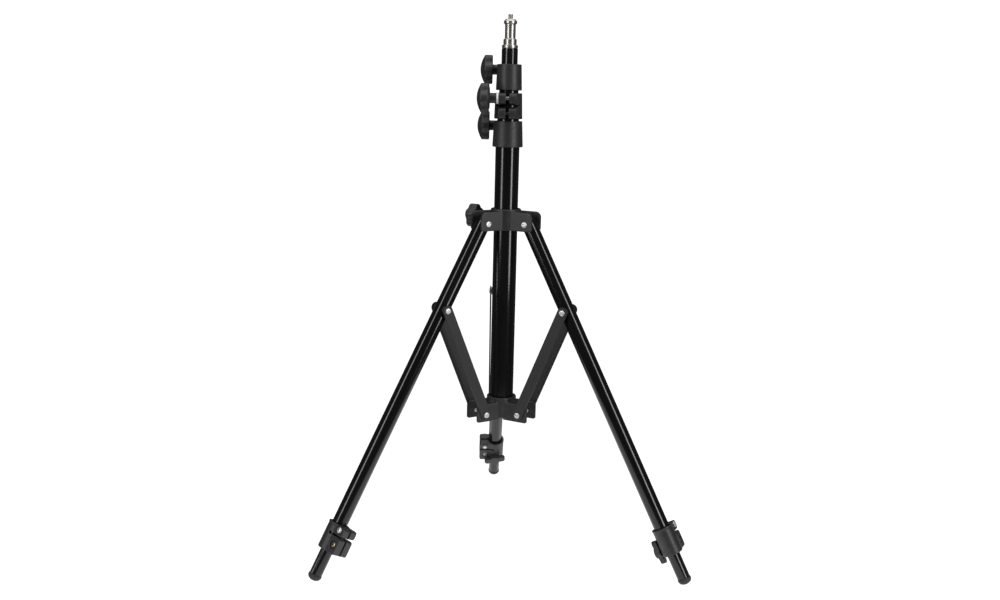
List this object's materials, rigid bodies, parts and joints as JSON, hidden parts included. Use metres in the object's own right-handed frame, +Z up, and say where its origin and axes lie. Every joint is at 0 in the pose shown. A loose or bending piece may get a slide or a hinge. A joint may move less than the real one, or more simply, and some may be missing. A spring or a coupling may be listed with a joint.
{
  "type": "tripod stand",
  "caption": "Folding tripod stand with a telescoping column, clamp knobs, strut-braced legs with sliding extensions and a 16 mm spigot with a threaded stud on top.",
  "frame": {"origin": "centre of the footprint's bounding box, on the floor", "axes": "+Z up along the column, +Y towards the rear leg, +X towards the right leg's side"},
  "size_m": [0.4672, 0.4138, 0.682],
  "materials": {
    "gloss_black": "glossy black coated tube",
    "charcoal_casting": "satin charcoal moulding",
    "charcoal_plastic": "matte charcoal moulding",
    "strut_black": "satin black painted steel strip",
    "chrome": "polished chrome plate",
    "zinc": "bright zinc plated steel",
    "foot_rubber": "dark grey moulded rubber",
    "nylon": "natural nylon"
  },
  "bodies": {
    "column": {"column_tube_1": "gloss_black", "column_collar_1": "charcoal_plastic", "collar_bolt_1": "zinc", "collar_screw_1": "zinc", "lower_bracket": "charcoal_casting", "strut_rivet_rear_a": "zinc", "strut_rivet_rear_b": "zinc", "strut_rivet_left_a": "zinc", "strut_rivet_left_b": "zinc", "strut_rivet_right_a": "zinc", "strut_rivet_right_b": "zinc"},
    "stage_2": {"column_tube_2": "gloss_black", "guide_bush_2": "nylon", "column_collar_2": "charcoal_plastic", "collar_bolt_2": "zinc", "collar_screw_2": "zinc"},
    "stage_3": {"column_tube_3": "gloss_black", "guide_bush_3": "nylon", "column_collar_3": "charcoal_plastic", "collar_bolt_3": "zinc", "collar_screw_3": "zinc"},
    "stage_4": {"column_tube_4": "gloss_black", "guide_bush_4": "nylon", "spigot": "chrome"},
    "knob_1": {"collar_knob_1": "charcoal_plastic"},
    "knob_2": {"collar_knob_2": "charcoal_plastic"},
    "knob_3": {"collar_knob_3": "charcoal_plastic"},
    "struts_rear": {"strut_rear_a": "strut_black", "strut_rear_b": "strut_black"},
    "struts_left": {"strut_left_a": "strut_black", "strut_left_b": "strut_black"},
    "struts_right": {"strut_right_a": "strut_black", "strut_right_b": "strut_black"},
    "leg_rear": {"leg_tube_rear": "gloss_black", "strut_clip_rear": "charcoal_plastic", "clip_rivet_rear": "zinc", "leg_clamp_rear": "charcoal_casting"},
    "leg_left": {"leg_tube_left": "gloss_black", "strut_clip_left": "charcoal_plastic", "clip_rivet_left": "zinc", "leg_clamp_left": "charcoal_casting"},
    "leg_right": {"leg_tube_right": "gloss_black", "strut_clip_right": "charcoal_plastic", "clip_rivet_right": "zinc", "leg_clamp_right": "charcoal_casting"},
    "yoke": {"leg_yoke": "charcoal_casting", "yoke_rivet_rear": "zinc", "yoke_rivet_left": "zinc", "yoke_rivet_right": "zinc"},
    "yoke_lock": {"yoke_knob": "charcoal_plastic", "yoke_bolt": "zinc"},
    "thumb_rear": {"thumb_screw_rear": "charcoal_plastic"},
    "thumb_left": {"thumb_screw_left": "charcoal_plastic"},
    "thumb_right": {"thumb_screw_right": "charcoal_plastic"},
    "foot_rear": {"leg_extension_rear": "gloss_black", "foot_cap_rear": "foot_rubber"},
    "foot_left": {"leg_extension_left": "gloss_black", "foot_cap_left": "foot_rubber"},
    "foot_right": {"leg_extension_right": "gloss_black", "foot_cap_right": "foot_rubber"}
  },
  "joints": [
    {"name": "stage_2_slide", "type": "slide", "parent": "column", "child": "stage_2", "axis": [0, 0, 1], "range_m": [0, 0.28]},
    {"name": "stage_3_slide", "type": "slide", "parent": "stage_2", "child": "stage_3", "axis": [0, 0, 1], "range_m": [0, 0.28]},
    {"name": "stage_4_slide", "type": "slide", "parent": "stage_3", "child": "stage_4", "axis": [0, 0, 1], "range_m": [0, 0.28]},
    {"name": "knob_1_turn", "type": "hinge", "parent": "column", "child": "knob_1", "pos_m": [-0.0137, -0.037, 0.54648], "axis": [-1, 0, 0], "range_deg": [0, 360]},
    {"name": "knob_2_turn", "type": "hinge", "parent": "stage_2", "child": "knob_2", "pos_m": [-0.01566, -0.08321, 0.58068], "axis": [-0.9962, 0.0872, 0], "range_deg": [0, 360]},
    {"name": "knob_3_turn", "type": "hinge", "parent": "stage_3", "child": "knob_3", "pos_m": [-0.0112, -0.03975, 0.61548], "axis": [-1, 0, 0], "range_deg": [0, 360]},
    {"name": "fold", "type": "hinge", "parent": "column", "child": "struts_rear", "pos_m": [0, -0.0299, 0.18168], "axis": [-1, 0, 0], "range_deg": [-21.92, 0]},
    {"name": "strut_left_fold", "type": "hinge", "parent": "column", "child": "struts_left", "pos_m": [-0.02728, -0.07715, 0.18168], "axis": [0.5, -0.866, 0], "range_deg": [-21.92, 0]},
    {"name": "strut_right_fold", "type": "hinge", "parent": "column", "child": "struts_right", "pos_m": [0.02728, -0.07715, 0.18168], "axis": [0.5, 0.866, 0], "range_deg": [-21.92, 0]},
    {"name": "leg_rear_fold", "type": "hinge", "parent": "struts_rear", "child": "leg_rear", "pos_m": [0, 0.0285, 0.322], "axis": [-1, 0, 0], "range_deg": [0, 50.33]},
    {"name": "leg_left_fold", "type": "hinge", "parent": "struts_left", "child": "leg_left", "pos_m": [-0.07785, -0.10634, 0.322], "axis": [0.5, -0.866, 0], "range_deg": [0, 50.33]},
    {"name": "leg_right_fold", "type": "hinge", "parent": "struts_right", "child": "leg_right", "pos_m": [0.07785, -0.10634, 0.322], "axis": [0.5, 0.866, 0], "range_deg": [0, 50.33]},
    {"name": "yoke_rise", "type": "hinge", "parent": "leg_rear", "child": "yoke", "pos_m": [0, -0.02809, 0.42668], "axis": [-1, 0, 0], "range_deg": [-28.41, 0]},
    {"name": "yoke_lock_turn", "type": "hinge", "parent": "yoke", "child": "yoke_lock", "pos_m": [-0.02927, -0.04449, 0.43168], "axis": [-0.866, 0.5, 0], "range_deg": [0, 360]},
    {"name": "thumb_rear_turn", "type": "hinge", "parent": "leg_rear", "child": "thumb_rear", "pos_m": [0, 0.17221, 0.03878], "axis": [0, -0.8796, -0.4756], "range_deg": [0, 360]},
    {"name": "thumb_left_turn", "type": "hinge", "parent": "leg_left", "child": "thumb_left", "pos_m": [-0.2036, -0.17646, 0.03891], "axis": [0.6064, 0.649, -0.4594], "range_deg": [0, 360]},
    {"name": "thumb_right_turn", "type": "hinge", "parent": "leg_right", "child": "thumb_right", "pos_m": [0.20185, -0.1791, 0.03881], "axis": [-0.8171, 0.331, -0.4721], "range_deg": [0, 360]},
    {"name": "foot_rear_slide", "type": "slide", "parent": "leg_rear", "child": "foot_rear", "axis": [0, 0.4756, -0.8796], "range_m": [0, 0.25]},
    {"name": "foot_left_slide", "type": "slide", "parent": "leg_left", "child": "foot_left", "axis": [-0.4119, -0.2378, -0.8796], "range_m": [0, 0.25]},
    {"name": "foot_right_slide", "type": "slide", "parent": "leg_right", "child": "foot_right", "axis": [0.4119, -0.2378, -0.8796], "range_m": [0, 0.25]}
  ],
  "couplings": [
    {"joint": "strut_left_fold", "follows": "fold", "ratio": 1},
    {"joint": "strut_right_fold", "follows": "fold", "ratio": 1},
    {"joint": "leg_rear_fold", "follows": "fold", "ratio": -2.2958},
    {"joint": "leg_left_fold", "follows": "fold", "ratio": -2.2958},
    {"joint": "leg_right_fold", "follows": "fold", "ratio": -2.2958},
    {"joint": "yoke_rise", "follows": "fold", "ratio": 1.2958}
  ]
}
